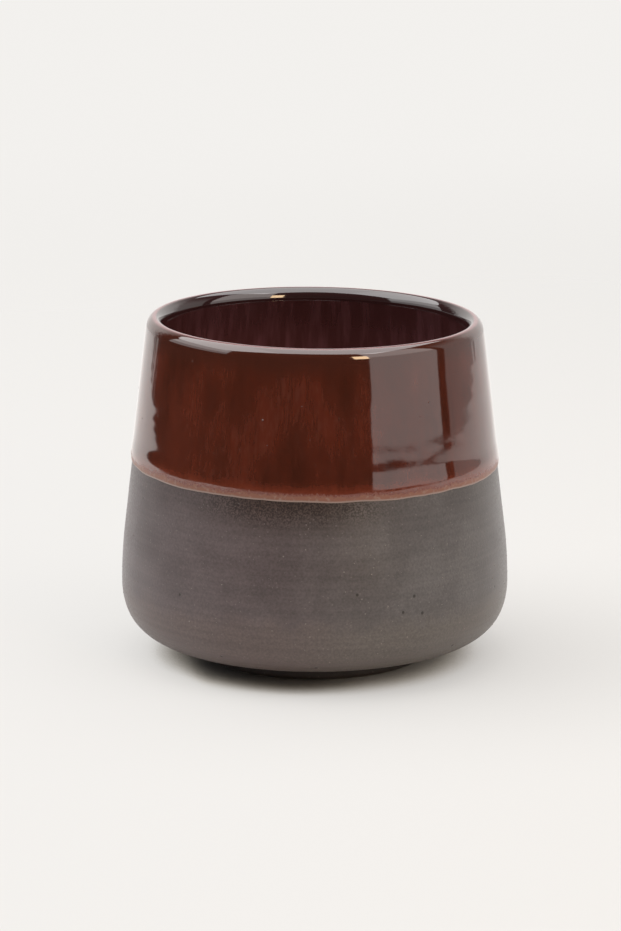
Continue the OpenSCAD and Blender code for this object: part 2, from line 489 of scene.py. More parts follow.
class CupLines:
    """The clay's profile: arcs and tangents worked out from the cup's sizes."""

    def __init__(self, shape):
        self.shape = shape
        belly_radius = shape.belly_diameter / 2
        foot_radius = shape.foot_diameter / 2
        slope = shape.underside_slope
        curve_step = shape.belly_curve - shape.heel_curve
        heel_r = belly_radius - shape.belly_curve + curve_step * math.cos(shape.belly_turn)
        underside_run = heel_r + shape.heel_curve * math.sin(slope) - foot_radius
        underside_top = shape.foot_height + underside_run * math.tan(slope)
        heel_z = underside_top + shape.heel_curve * math.cos(slope)
        self.heel_centre = (heel_r, heel_z)
        belly_z = heel_z + curve_step * math.sin(shape.belly_turn)
        self.belly_centre = (belly_radius - shape.belly_curve, belly_z)
        self.shoulder_centre = (belly_radius - shape.shoulder_curve, belly_z)
        lip_half = shape.lip_thickness / 2
        crown_step = (shape.lip_curve - lip_half) / math.cos(shape.lip_turn)
        self.crown_radius = shape.lip_curve - crown_step
        crown_r = shape.rim_diameter / 2 - shape.glaze_thickness - lip_half
        crown_z = shape.cup_height - shape.glaze_thickness - self.crown_radius
        side_z = crown_z - crown_step * math.sin(shape.lip_turn)
        self.crown_centre = (crown_r, crown_z)
        self.outer_lip_centre = (crown_r - crown_step * math.cos(shape.lip_turn), side_z)
        self.inner_lip_centre = (crown_r + crown_step * math.cos(shape.lip_turn), side_z)
        self.floor_centre = (
            belly_radius - shape.wall_thickness - shape.floor_curve, shape.floor_height + shape.floor_curve)
        self.outside_facing = tangent_facing(
            self.shoulder_centre, self.outer_lip_centre, shape.shoulder_curve - shape.lip_curve)
        self.inside_facing = math.tau + tangent_facing(
            self.inner_lip_centre, self.floor_centre, shape.lip_curve + shape.floor_curve)

    def foot(self, spacing):
        """From the middle of the foot's hollow, round the ring and out to the underside."""
        shape = self.shape
        quarter = math.pi / 2
        outer = shape.foot_diameter / 2
        inner = outer - shape.foot_width
        bend, edge, fillet = shape.hollow_curve, shape.foot_edge, shape.foot_fillet
        slope = shape.underside_slope
        fillet_centre = (
            outer + fillet, shape.foot_height + fillet * math.tan(slope) - fillet / math.cos(slope))
        hollow = hollow_arc((inner - bend, shape.foot_hollow - bend), bend, quarter, 0.0, spacing)
        inner_edge = bulging_arc((inner + edge, edge), edge, math.pi, 3 * quarter, spacing)
        outer_edge = bulging_arc((outer - edge, edge), edge, -quarter, 0.0, spacing)
        corner = hollow_arc(fillet_centre, fillet, math.pi, quarter + slope, spacing)
        return filled(
            [Station(0.0, shape.foot_hollow, -quarter)]
            + turned(hollow + inner_edge, -math.tau) + outer_edge + turned(corner, -math.tau),
            spacing)

    def outside(self, spacing):
        """Up the heel, the belly and the straight wall to the lip."""
        shape = self.shape
        return filled(
            bulging_arc(self.heel_centre, shape.heel_curve,
                        shape.underside_slope - math.pi / 2, -shape.belly_turn, spacing)
            + bulging_arc(self.belly_centre, shape.belly_curve, -shape.belly_turn, 0.0, spacing)[1:]
            + bulging_arc(self.shoulder_centre, shape.shoulder_curve, 0.0, self.outside_facing, spacing)[1:]
            + self.lip(spacing)[:1],
            spacing)

    def lip(self, spacing):
        """Over the lip: its outer side, its narrow top and its inner side."""
        curve, turn = self.shape.lip_curve, self.shape.lip_turn
        return (
            bulging_arc(self.outer_lip_centre, curve, self.outside_facing, turn, spacing)
            + bulging_arc(self.crown_centre, self.crown_radius, turn, math.pi - turn, spacing)[1:]
            + bulging_arc(self.inner_lip_centre, curve, math.pi - turn, self.inside_facing, spacing)[1:])

    def inside(self, spacing):
        """From the lip down the inside wall to the middle of the floor."""
        shape = self.shape
        return filled(
            self.lip(spacing)[-1:]
            + hollow_arc(self.floor_centre, shape.floor_curve,
                         self.inside_facing - math.pi, -math.pi / 2, spacing)
            + [Station(0.0, shape.floor_height, math.pi / 2)],
            spacing)

    def lip_share(self, station):
        """How far over the lip a station faces, from 0 outside to 1 inside."""
        share = (station.facing - self.outside_facing) / (self.inside_facing - self.outside_facing)
        return min(1.0, max(0.0, share))


# Marks along a profile

class Fade:
    """Distances over which the marks on a profile start and end."""

    TRIM = 2 * MM
    REST = 0.4 * MM
    AXIS = 3 * MM
    RINGS = 8 * MM
    LIP = (2 * MM, 6 * MM)
    EDGE = (1 * MM, 8 * MM)
    POOL = 10 * MM
    # Share of the turning lines' depth that is left above the turned part
    LINES_LEFT = 0.25


def smooth_share(value, start, stop):
    """A smooth step from 0 to 1 as the value goes from start to stop."""
    share = min(1.0, max(0.0, (value - start) / (stop - start)))
    return share * share * (3 - 2 * share)


def turning_share(station, shape):
    """Share of the turning lines' depth: weak above the trim, none at the resting face or the axis."""
    above = smooth_share(station.height, shape.trim_height - Fade.TRIM, shape.trim_height + Fade.TRIM)
    return (
        (1.0 - (1.0 - Fade.LINES_LEFT) * above)
        * smooth_share(station.height, 0.0, Fade.REST) * smooth_share(station.radius, 0.0, Fade.AXIS))


def throwing_share(station, shape):
    """Share of the throwing rings' depth: none inside, on the turned part or near the lip."""
    if math.cos(station.facing) <= 0:
        return 0.0
    start, stop = (shape.cup_height - depth for depth in Fade.LIP)
    return (
        smooth_share(station.height, shape.trim_height, shape.trim_height + Fade.RINGS)
        * smooth_share(station.height, start, stop))


def bead_swell(station, shape):
    """How much deeper the outer glaze is where it gathers above its edge."""
    middle = shape.glaze_line + shape.glaze_roll
    top = shape.glaze_line + shape.bead_height
    return (
        shape.bead_depth * smooth_share(station.height, top, middle)
        * smooth_share(station.height, shape.glaze_line, middle))


def run_lengths(stations):
    """Distance along a profile, from its first station."""
    made = [0.0]
    for first, second in zip(stations, stations[1:]):
        made.append(made[-1] + gap(first, second))
    return made


# Making pieces

def new_piece(name, mesh):
    """An object at the origin, linked to the scene."""
    piece = bpy.data.objects.new(name, mesh)
    bpy.context.scene.collection.objects.link(piece)
    return piece


def profile_piece(name, stations, marks):
    """A piece that is still only its profile, with what the wheel tree reads along it."""
    mesh = bpy.data.meshes.new(name)
    links = [(i, i + 1) for i in range(len(stations) - 1)]
    mesh.from_pydata([(s.radius, 0.0, s.height) for s in stations], links, [])
    for mark, values in {"facing": [s.facing for s in stations], **marks}.items():
        mesh.attributes.new(mark, "FLOAT", "POINT").data.foreach_set("value", values)
    return new_piece(name, mesh)


def fetched(name, make):
    """A node tree by its name, made first if it isn't there yet."""
    return bpy.data.node_groups.get(name) or make(name)


def new_tree(name, sockets):
    """A geometry tree with a geometry input and output, and its other inputs by name and kind."""
    tree = bpy.data.node_groups.new(name, "GeometryNodeTree")
    tree.interface.new_socket("Geometry", in_out="INPUT", socket_type="NodeSocketGeometry")
    for socket, kind in sockets.items():
        tree.interface.new_socket(socket, in_out="INPUT", socket_type=f"NodeSocket{kind}")
    tree.interface.new_socket("Geometry", in_out="OUTPUT", socket_type="NodeSocketGeometry")
    given = tree.nodes.new("NodeGroupInput").outputs
    return tree, Nodes(tree), given


def end_tree(nodes, geometry, material):
    """Ends a geometry tree with real, smooth geometry in its material."""
    geometry = nodes.add("GeometryNodeRealizeInstances", {"Geometry": geometry})
    geometry = nodes.add("GeometryNodeSetShadeSmooth", {"Geometry": geometry})
    geometry = nodes.add("GeometryNodeSetMaterial", {"Geometry": geometry, "Material": material})
    nodes.feed(nodes.tree.nodes.new("NodeGroupOutput").inputs["Geometry"], geometry)


def stored(nodes, geometry, name, value):
    """Geometry that keeps a number on each point, for its material to read."""
    return nodes.add(
        "GeometryNodeStoreNamedAttribute", {"Geometry": geometry, "Name": name, "Value": value},
        data_type="FLOAT", domain="POINT")


def run_tree(piece, tree, values):
    """Runs a geometry tree on a piece and keeps the result as the piece's plain mesh."""
    modifier = piece.modifiers.new(tree.name, "NODES")
    modifier.node_group = tree
    for socket in tree.interface.items_tree:
        if socket.in_out == "INPUT" and socket.name in values:
            modifier[socket.identifier] = values[socket.name]
    depsgraph = bpy.context.evaluated_depsgraph_get()
    mesh = bpy.data.meshes.new_from_object(
        piece.evaluated_get(depsgraph), preserve_all_data_layers=True, depsgraph=depsgraph)
    piece.modifiers.remove(modifier)
    before = piece.data
    piece.data = mesh
    bpy.data.meshes.remove(before)
    mesh.name = piece.name
    if not mesh.polygons:
        raise RuntimeError(f"{piece.name} came out empty")


# Length round the cup of a wheel mark's swells, in radii
MARK_STRETCH = 1.6
# Settings that the wheel tree takes in under their own names
WHEEL_MARKS = (
    "lip_lean", "wobble_depth", "wobble_size", "line_depth", "line_spacing", "ring_depth", "ring_spacing",
    "ripple_depth", "ripple_size", "edge_wave", "edge_wave_size")


def wheel_values(shape, marks, lines, material):
    """The wheel tree's inputs."""
    return {
        "steps_round": marks.steps_round, "round_radius": shape.belly_diameter / 2,
        "wall_lean": lines.outside_facing, "lean_low": shape.trim_height, "lean_high": shape.glaze_line,
        "material": material, **{mark: getattr(marks, mark) for mark in WHEEL_MARKS}}


def wheel_tree(name):
    """The tree that turns a profile round the axis and leaves the wheel's and the glaze's marks on it."""
    tree, nodes, given = new_tree(name, {
        "steps_round": "Int", "round_radius": "Float", "wall_lean": "Float", "lean_low": "Float",
        "lean_high": "Float", "material": "Material", **dict.fromkeys(WHEEL_MARKS, "Float")})
    profile = given["Geometry"]
    rows = nodes.add(
        "GeometryNodeAttributeDomainSize", {"Geometry": profile}, "Point Count", component="MESH")
    columns = nodes.total(given["steps_round"], 1)
    grid = nodes.add("GeometryNodeMeshGrid", {"Vertices X": columns, "Vertices Y": rows}, "Mesh")
    index = nodes.add("GeometryNodeInputIndex")
    row = nodes.maths("MODULO", index, rows)
    column = nodes.maths("FLOOR", nodes.maths("DIVIDE", index, rows))
    turn = nodes.product(nodes.maths("DIVIDE", column, given["steps_round"]), math.tau)
    across = nodes.maths("COSINE", turn)
    along = nodes.maths("SINE", turn)
    round_radius = given["round_radius"]

    def sampled(value, kind):
        """A value of the profile, on each point of the grid."""
        return nodes.add(
            "GeometryNodeSampleIndex", {"Geometry": profile, "Value": value, "Index": row}, data_type=kind)

    def mark(word):
        """One of the profile's marks, on each point of the grid."""
        named = nodes.add("GeometryNodeInputNamedAttribute", {"Name": word}, data_type="FLOAT")
        return sampled(named, "FLOAT")

    def uneven(drum, size, height_size, level):
        """Noise about zero on a drum round the axis, which closes on itself."""
        spread = nodes.maths("DIVIDE", drum, size)
        where = nodes.xyz(
            nodes.product(across, spread), nodes.product(along, spread),
            nodes.maths("DIVIDE", level, height_size))
        return nodes.stray(nodes.noise(where), 2.0)

    radius, _, height = nodes.parts(sampled(nodes.add("GeometryNodeInputPosition"), "FLOAT_VECTOR"))
    facing = mark("facing")
    off_axis = nodes.rise(radius, 0.0, nodes.product(round_radius, 0.5))
    swells = uneven(round_radius, given["wobble_size"], given["wobble_size"], height)
    wobble = nodes.product(swells, given["wobble_depth"], off_axis)
    long_way = nodes.product(round_radius, MARK_STRETCH)
    lines = uneven(round_radius, long_way, given["line_spacing"], mark("run"))
    rings = uneven(round_radius, long_way, given["ring_spacing"], height)
    ripple = uneven(mark("drum"), given["ripple_size"], given["ripple_size"], height)
    out = nodes.total(
        nodes.product(lines, given["line_depth"], mark("lines")),
        nodes.product(rings, given["ring_depth"], mark("rings")),
        nodes.product(ripple, given["ripple_depth"], mark("ripple")))
    waves = uneven(round_radius, given["edge_wave_size"], 1.0, 0.0)
    lift = nodes.product(waves, given["edge_wave"], mark("edge"))
    lean = nodes.product(lift, nodes.maths("TANGENT", given["wall_lean"]))
    dip = nodes.product(
        radius, across, nodes.maths("TANGENT", given["lip_lean"]),
        nodes.rise(height, given["lean_low"], given["lean_high"]))
    new_radius = nodes.maths(
        "SUBTRACT", nodes.total(radius, wobble, nodes.product(out, nodes.maths("COSINE", facing))), lean)
    new_height = nodes.maths(
        "SUBTRACT", nodes.total(height, lift, nodes.product(out, nodes.maths("SINE", facing))), dip)
    position = nodes.xyz(nodes.product(new_radius, across), nodes.product(new_radius, along), new_height)
    geometry = nodes.add("GeometryNodeSetPosition", {"Geometry": grid, "Position": position})
    for kept in ("edge_distance", "lip_share"):
        geometry = stored(nodes, geometry, kept, mark(kept))
    geometry = nodes.add("GeometryNodeMergeByDistance", {"Geometry": geometry, "Distance": Spacing.MERGE})
    end_tree(nodes, geometry, given["material"])
    return tree


class Scatter:
    """How flat the grains are, and the bare strips at both ends of where they lie."""

    GROG_FLATNESS = 0.45
    GROG_ABOVE_FOOT = 0.4 * MM
    GROG_BELOW_LINE = 0.9 * MM
    BLISTER_FLATNESS = 0.35
    BLISTER_ABOVE_LINE = 4 * MM
    BLISTER_BELOW_LIP = 1.2 * MM


def scatter_tree(name):
    """The tree that scatters small grains, half sunk, over the outside between two heights."""
    tree, nodes, given = new_tree(name, {
        "density": "Float", "seed": "Int", "smallest": "Float", "largest": "Float", "flatness": "Float",
        "low": "Float", "high": "Float", "material": "Material"})
    x, y, height = nodes.parts(nodes.add("GeometryNodeInputPosition"))
    outwards = nodes.add(
        "ShaderNodeVectorMath", {0: nodes.add("GeometryNodeInputNormal"), 1: nodes.xyz(x, y, 0.0)},
        output="Value", operation="DOT_PRODUCT")
    chosen = nodes.product(
        nodes.maths("GREATER_THAN", outwards, 0.0),
        nodes.maths("GREATER_THAN", height, given["low"]),
        nodes.maths("LESS_THAN", height, given["high"]))
    points = tree.nodes.new("GeometryNodeDistributePointsOnFaces")
    for socket, value in {
            "Mesh": given["Geometry"], "Selection": chosen, "Density": given["density"],
            "Seed": given["seed"]}.items():
        nodes.feed(points.inputs[socket], value)
    spread = nodes.add(
        "FunctionNodeRandomValue", {2: 0.0, 3: 1.0, "Seed": given["seed"]}, output=1, data_type="FLOAT")
    size_range = nodes.maths("SUBTRACT", given["largest"], given["smallest"])
    size = nodes.total(
        given["smallest"], nodes.product(nodes.product(spread, spread, spread), size_range))
    marked = stored(nodes, points.outputs["Points"], "tone", spread)
    grain = nodes.add("GeometryNodeMeshIcoSphere", {"Radius": 1.0, "Subdivisions": 1}, "Mesh")
    grains = nodes.add("GeometryNodeInstanceOnPoints", {
        "Points": marked, "Instance": grain, "Rotation": points.outputs["Rotation"],
        "Scale": nodes.xyz(size, size, nodes.product(size, given["flatness"]))})
    end_tree(nodes, grains, given["material"])
    return tree


# Materials

def new_material(name):
    """A material with its nodes, the object's own coordinates and the socket for its surface."""
    material = bpy.data.materials.new(name)
    material.use_nodes = True
    tree = material.node_tree
    tree.nodes.clear()
    nodes = Nodes(tree)
    where = nodes.add("ShaderNodeTexCoord", output="Object")
    return material, nodes, where, tree.nodes.new("ShaderNodeOutputMaterial").inputs["Surface"]


def new_ceramic(name):
    """A material with its nodes, the object's own coordinates and the inputs of a plain surface."""
    material, nodes, where, surface = new_material(name)
    shader = material.node_tree.nodes.new("ShaderNodeBsdfPrincipled")
    nodes.feed(surface, shader.outputs["BSDF"])
    return material, nodes, where, shader.inputs


class Clay:
    """Sizes of the bare clay's patterns, and pairs of places where one starts and is full."""

    MOTTLE = 9 * MM
    PATCH = 5 * MM
    DRIFT = 26 * MM
    GRAIN = 0.42 * MM
    GRIT = 0.30 * MM
    SPECK = 0.8 * MM
    PIT = 3.4 * MM
    RELIEF = 0.10 * MM
    # Turning bands to the metre, across and up
    BANDS = (40.0, 1300.0)
    # How far patches and drift move the borders between kinds of clay
    FRAY = 6 * MM
    SMOKE_FRAY = 2 * MM
    SMOKE_DRIFT = 14 * MM
    TINT_DRIFT = 20 * MM
    # Heights from the trim, the glaze line and the top of the foot
    WARM_FADE = 5 * MM
    SMOKE_RISE = (-7.5 * MM, 1.5 * MM)
    GRIT_RISE = (-5 * MM, -0.5 * MM)
    # Painted shade on the foot ring, from just above the top of the foot downwards
    PAINTED_FOOT_SHADE = (0.6 * MM, -0.2 * MM)
    PIT_REACH = (4 * MM, 1 * MM)
    # How far left of the axis smoke and grit are strongest, and distances from there
    SMOKE_MIDDLE = 4 * MM
    SMOKE_REACH = (19 * MM, 6 * MM)
    GRIT_REACH = (18 * MM, 9 * MM)
    # Places across the cup where the left side's tint and painted shade turn into the right side's painted
    # light
    TINT = (-18 * MM, 22 * MM)


def bare_stoneware(shape, finish):
    """Bare fired clay: mottling, grain, specks and pits, warm where turned, smoked under the glaze, with
    painted shade on the foot ring and painted light and shade from side to side.
    """
    material, nodes, where, surface = new_ceramic("bare_stoneware")
    across, _, height = nodes.parts(where)
    line = shape.glaze_line
    patchy = nodes.noise(where, Clay.PATCH)
    drift = nodes.noise(where, Clay.DRIFT)
    frayed = nodes.total(height, nodes.stray(patchy, Clay.FRAY))
    mottle = nodes.noise(where, Clay.MOTTLE, detail=3.0)
    colour_now = nodes.blend(nodes.rise(mottle, 0.35, 0.65), finish.clay, finish.clay_pale)
    low = nodes.rise(frayed, shape.trim_height, shape.trim_height - Clay.WARM_FADE, 0.0, 0.8)
    colour_now = nodes.blend(low, colour_now, finish.clay_warm)
    sideways = nodes.total(across, Clay.SMOKE_MIDDLE)
    smoke_side = nodes.maths("ABSOLUTE", nodes.total(sideways, nodes.stray(drift, Clay.SMOKE_DRIFT)))
    smoke = nodes.product(
        nodes.rise(nodes.total(height, nodes.product(patchy, Clay.SMOKE_FRAY)),
                   *(line + level for level in Clay.SMOKE_RISE)),
        nodes.rise(smoke_side, *Clay.SMOKE_REACH, 0.25, 1.0))
    colour_now = nodes.blend(smoke, colour_now, finish.clay_smoke)
    # Painted light and shade by side: the clay is darker and pinker on the left and brighter on the right
    side = nodes.rise(nodes.total(across, nodes.stray(drift, Clay.TINT_DRIFT)), *Clay.TINT)
    colour_now = nodes.tinted(colour_now, nodes.blend(side, finish.tint_and_shade_left, finish.tint_and_light_right))
    grain = nodes.noise(where, Clay.GRAIN, detail=3.0, roughness=0.6)
    bands = nodes.drawn_noise(where, *Clay.BANDS)
    tone = nodes.product(
        nodes.rise(grain, 0.25, 0.75, 0.80, 1.19), nodes.rise(bands, 0.3, 0.7, 0.93, 1.07))
    colour_now = nodes.scaled(colour_now, tone)
    grit = nodes.noise(where, Clay.GRIT, detail=1.0)
    gritty = nodes.product(
        nodes.rise(frayed, *(line + level for level in Clay.GRIT_RISE)),
        nodes.rise(nodes.maths("ABSOLUTE", sideways), *Clay.GRIT_REACH, 0.2, 1.0))
    gritted = nodes.scaled(colour_now, nodes.rise(grit, 0.36, 0.64, 0.45, 1.55))
    colour_now = nodes.blend(gritty, colour_now, gritted)
    # Painted shade: the foot ring is darkened towards the pit colour in place of its contact shadow
    painted_foot_shade = nodes.rise(height, *(shape.foot_height + level for level in Clay.PAINTED_FOOT_SHADE), 0.0, 0.75)
    colour_now = nodes.blend(painted_foot_shade, colour_now, finish.pit_and_foot_shade)
    speck_distance, speck_number = nodes.cells(where, Clay.SPECK)
    specks = nodes.product(
        nodes.rise(speck_distance, 0.22, 0.10), nodes.rise(speck_number, 0.66, 0.80, 0.0, 0.36))
    colour_now = nodes.blend(specks, colour_now, finish.grog)
    pit_distance, pit_number = nodes.cells(where, Clay.PIT)
    from_trim = nodes.maths("ABSOLUTE", nodes.total(height, -shape.trim_height))
    pitted = nodes.maths("LESS_THAN", pit_number, nodes.rise(from_trim, *Clay.PIT_REACH, 0.25, 0.85))
    pits = nodes.product(nodes.rise(pit_distance, 0.12, 0.05), pitted)
    colour_now = nodes.blend(pits, colour_now, finish.pit_and_foot_shade)
    relief = nodes.total(
        nodes.product(grain, 0.6), nodes.product(specks, 0.4), nodes.product(pits, -1.2))
    nodes.feed(surface["Base Color"], colour_now)
    nodes.feed(surface["Roughness"], nodes.rise(grain, 0.3, 0.7, 0.32, 0.46))
    nodes.feed(surface["Specular IOR Level"], 0.36)
    nodes.feed(surface["Normal"], nodes.bumped(relief, 0.5, Clay.RELIEF))
    return material


class Glaze:
    """Sizes of the glazes' patterns, and pairs of places where one starts and is full."""

    FUZZ = 0.6 * MM
    SWELL = 4.5 * MM
    DAPPLE = 0.7 * MM
    OUTER_PEEL = 1.6 * MM
    LINER_PEEL = 1.8 * MM
    PEEL_DEPTH = 0.03 * MM
    # Streaks and patches to the metre, across and up
    STREAKS = (900.0, 90.0)
    BROAD = (150.0, 40.0)
    CLOUDS = (130.0, 70.0)
    FLECKS = (2200.0, 420.0)
    LINER_STREAKS = (480.0, 55.0)
    # How far fuzz and swells move the borders above the edge, and heights above it
    FUZZ_STRAY = 2.0 * MM
    SWELL_STRAY = 1.4 * MM
    THIN = (3.6 * MM, 1.3 * MM)
    BAND = (1.30 * MM, 0.75 * MM)
    PALE_DAPPLE = (1.5 * MM, 0.6 * MM)
    BEAD = (0.42 * MM, 0.18 * MM)
    GLOSS = (0.6 * MM, 2.2 * MM)
    # Depths below the lip, and the height above the floor up to which the liner darkens
    LIP = (5.5 * MM, 1.5 * MM)
    # Depths below the lip between which the liner takes on painted shade
    LINER_TOP = (13 * MM, 3 * MM)
    POOL = 12 * MM


def glossy(nodes, where, surface, peel_size):
    """Gives a surface the gloss of glaze and its fine unevenness."""
    nodes.feed(surface["IOR"], GLAZE_IOR)
    nodes.feed(surface["Normal"], nodes.bumped(nodes.noise(where, peel_size), 0.12, Glaze.PEEL_DEPTH))


def dipped_glaze_finish(shape, finish):
    """Glossy red-brown glaze: upright streaks, red clouds, dark at the lip, tan where it thins out and a
    painted reflection along its very edge.
    """
    material, nodes, where, surface = new_ceramic("dipped_red_glaze")
    edge = nodes.attribute("edge_distance")
    lip = nodes.attribute("lip_share")
    height = nodes.parts(where)[2]
    streaks = nodes.drawn_noise(where, *Glaze.STREAKS)
    broad = nodes.drawn_noise(where, *Glaze.BROAD)
    clouds = nodes.drawn_noise(where, *Glaze.CLOUDS)
    flecks = nodes.drawn_noise(where, *Glaze.FLECKS, roughness=0.6)
    redness = nodes.maths("MINIMUM", 1.0, nodes.total(
        nodes.rise(streaks, 0.36, 0.72, 0.0, 0.30), nodes.rise(broad, 0.38, 0.66, 0.0, 0.40),
        nodes.rise(clouds, 0.38, 0.74, 0.0, 0.55)))
    colour_now = nodes.blend(redness, finish.glaze, finish.glaze_red)
    haze = nodes.product(
        nodes.rise(flecks, 0.44, 0.74, 0.04, 0.36), nodes.rise(clouds, 0.28, 0.72, 0.25, 1.0))
    colour_now = nodes.blend(haze, colour_now, finish.glaze_haze)
    near_lip = nodes.rise(height, *(shape.cup_height - depth for depth in Glaze.LIP), 0.0, 0.9)
    colour_now = nodes.blend(near_lip, colour_now, finish.glaze_lip)
    colour_now = nodes.blend(nodes.rise(lip, 0.26, 0.40), colour_now, finish.lip_break)
    colour_now = nodes.blend(nodes.rise(lip, 0.50, 0.60), colour_now, finish.lip_top)
    fuzz = nodes.noise(where, Glaze.FUZZ, detail=4.0, roughness=0.65)
    swell = nodes.noise(where, Glaze.SWELL)
    level = nodes.total(edge, nodes.stray(fuzz, Glaze.FUZZ_STRAY), nodes.stray(swell, Glaze.SWELL_STRAY))
    colour_now = nodes.blend(nodes.rise(level, *Glaze.THIN), colour_now, finish.glaze_thin)
    colour_now = nodes.blend(nodes.rise(level, *Glaze.BAND), colour_now, finish.edge_band)
    dapple = nodes.noise(where, Glaze.DAPPLE)
    paler = nodes.product(
        nodes.rise(level, *Glaze.PALE_DAPPLE), nodes.rise(dapple, 0.5, 0.68, 0.0, 0.5))
    colour_now = nodes.blend(paler, colour_now, finish.edge_bead_and_reflection)
    # Painted reflection: a pale line along the very edge, where the rolled bead faces the floor
    colour_now = nodes.blend(nodes.rise(edge, *Glaze.BEAD), colour_now, finish.edge_bead_and_reflection)
    nodes.feed(surface["Base Color"], colour_now)
    nodes.feed(surface["Roughness"], nodes.rise(level, *Glaze.GLOSS, 0.42, 0.055))
    nodes.feed(surface["Specular IOR Level"], nodes.rise(level, *Glaze.GLOSS, 0.18, 0.5))
    glossy(nodes, where, surface, Glaze.OUTER_PEEL)
    return material


def liner_glaze_finish(shape, finish):
    """Glossy aubergine glaze with soft purple streaks, darker on the floor, with painted shade just under the
    lip.
    """
    material, nodes, where, surface = new_ceramic("poured_aubergine_glaze")
    height = nodes.parts(where)[2]
    streaks = nodes.drawn_noise(where, *Glaze.LINER_STREAKS, detail=3.0, roughness=0.6)
    colour_now = nodes.blend(nodes.rise(streaks, 0.42, 0.72), finish.liner, finish.liner_streak)
    pooled = nodes.rise(height, shape.floor_height + Glaze.POOL, shape.floor_height, 1.0, 0.6)
    # Painted shade: the upper part of the inside is darkened, as if less light reached it
    painted_shade_near_top = nodes.rise(height, *(shape.cup_height - depth for depth in Glaze.LINER_TOP), 1.0, 0.5)
    nodes.feed(surface["Base Color"], nodes.scaled(colour_now, nodes.product(pooled, painted_shade_near_top)))
    nodes.feed(surface["Roughness"], nodes.rise(streaks, 0.3, 0.7, 0.06, 0.12))
    glossy(nodes, where, surface, Glaze.LINER_PEEL)
    return material


def fired_grog(finish):
    """Pale grains of grog, each of its own tone."""
    material, nodes, where, surface = new_ceramic("fired_grog")
    grain = nodes.noise(where, 0.15 * MM)
    tone = nodes.total(nodes.product(nodes.attribute("tone"), 0.7), nodes.product(grain, 0.3))
    nodes.feed(surface["Base Color"], nodes.blend(tone, finish.clay_pale, finish.grog))
    nodes.feed(surface["Roughness"], nodes.rise(grain, 0.3, 0.7, 0.45, 0.7))
    nodes.feed(surface["Specular IOR Level"], 0.3)
    return material


def blister_glaze(finish):
    """The outer glaze over a small bubble."""
    material, nodes, where, surface = new_ceramic("blistered_red_glaze")
    tone = nodes.attribute("tone")
    nodes.feed(surface["Base Color"], nodes.blend(tone, finish.glaze, finish.glaze_red))
    nodes.feed(surface["Roughness"], nodes.rise(nodes.noise(where, 0.4 * MM), 0.3, 0.7, 0.05, 0.12))
    nodes.feed(surface["IOR"], GLAZE_IOR)
    return material


# Stage

def add_softbox(name, centre, towards, size, radiance, tone=WHITE, tilt=0.0):
    """A soft rectangular lamp of an even brightness that the camera doesn't see."""
    width, height = size
    lamp = bpy.data.lights.new(name, "AREA")
    lamp.shape = "RECTANGLE"
    lamp.size = width
    lamp.size_y = height
    lamp.energy = radiance * math.pi * width * height
    lamp.color = tone
    holder = bpy.data.objects.new(name, lamp)
    holder.location = centre
    holder.rotation_mode = "QUATERNION"
    upright = Vector(towards).to_track_quat("-Z", "Y")
    holder.rotation_quaternion = upright @ Quaternion((0.0, 0.0, 1.0), tilt)
    holder.visible_camera = False
    bpy.context.scene.collection.objects.link(holder)


def heading(way, rise):
    """The direction that lies so far round from the front to the right, and so far above level."""
    level = math.cos(rise)
    return Vector((math.sin(way) * level, -math.cos(way) * level, math.sin(rise)))


class Lamps:
    """Places and sizes of the lamps beside the cup: ways round from the front, heights and widths."""

    LEFT_MIDDLE = -0.07
    LEFT_WIDTH = 1.24
    LEFT_FOOT = 0.14
    LEFT_JOIN = 0.42
    RIGHT_WAY = math.radians(62.35)
    RIGHT_DISTANCE = 0.8
    RIGHT_WIDTH = 0.79
    RIGHT_FOOT = 0.0178
    # The lower panel on the right reaches a little past the foot of the upper one
    RIGHT_LOWER_TOP = 0.325
    RIGHT_UPPER_FOOT = 0.30
    RIGHT_TOP = 1.05
    WARM_WAY = math.radians(31.0)
    WARM_RISE = math.radians(17.0)
    WARM_DISTANCE = 0.7
    WARM_SIZE = (0.12, 0.26)


def add_lamps(studio):
    """Two lamps overhead, brighter on the left, two panels on either side and a small warm lamp."""
    low, size = Vector(studio.overhead_low), Vector(studio.overhead_size)
    for name, start, stop, light in (
            ("upper_left_lamp", low.x, studio.overhead_split, studio.upper_left_light),
            ("overhead_lamp", studio.overhead_split, low.x + size.x, studio.overhead_light)):
        centre = ((start + stop) / 2, low.y + size.y / 2, low.z)
        add_softbox(name, centre, (0.0, 0.0, -1.0), (stop - start, size.y), light)
    for name, foot, top, light in (
            ("left_panel", Lamps.LEFT_FOOT, Lamps.LEFT_JOIN, studio.left_light),
            ("left_upper_panel", Lamps.LEFT_JOIN, low.z, studio.left_upper_light)):
        centre = (low.x, Lamps.LEFT_MIDDLE, (foot + top) / 2)
        add_softbox(name, centre, (1.0, 0.0, 0.0), (Lamps.LEFT_WIDTH, top - foot), light)
    way = heading(Lamps.RIGHT_WAY, 0.0)
    for name, foot, top, light, tilt in (
            ("right_panel", Lamps.RIGHT_FOOT, Lamps.RIGHT_LOWER_TOP, studio.right_light, -studio.right_tilt),
            ("right_upper_panel", Lamps.RIGHT_UPPER_FOOT, Lamps.RIGHT_TOP, studio.right_upper_light, 0.0)):
        centre = way * Lamps.RIGHT_DISTANCE + Vector((0.0, 0.0, (foot + top) / 2))
        add_softbox(name, centre, -way, (Lamps.RIGHT_WIDTH, top - foot), light, studio.right_tone, tilt)
    way = heading(Lamps.WARM_WAY, Lamps.WARM_RISE)
    centre = way * Lamps.WARM_DISTANCE + Vector((0.0, 0.0, cad_high.z))
    add_softbox("warm_lamp", centre, -way, Lamps.WARM_SIZE, studio.warm_light, studio.warm)


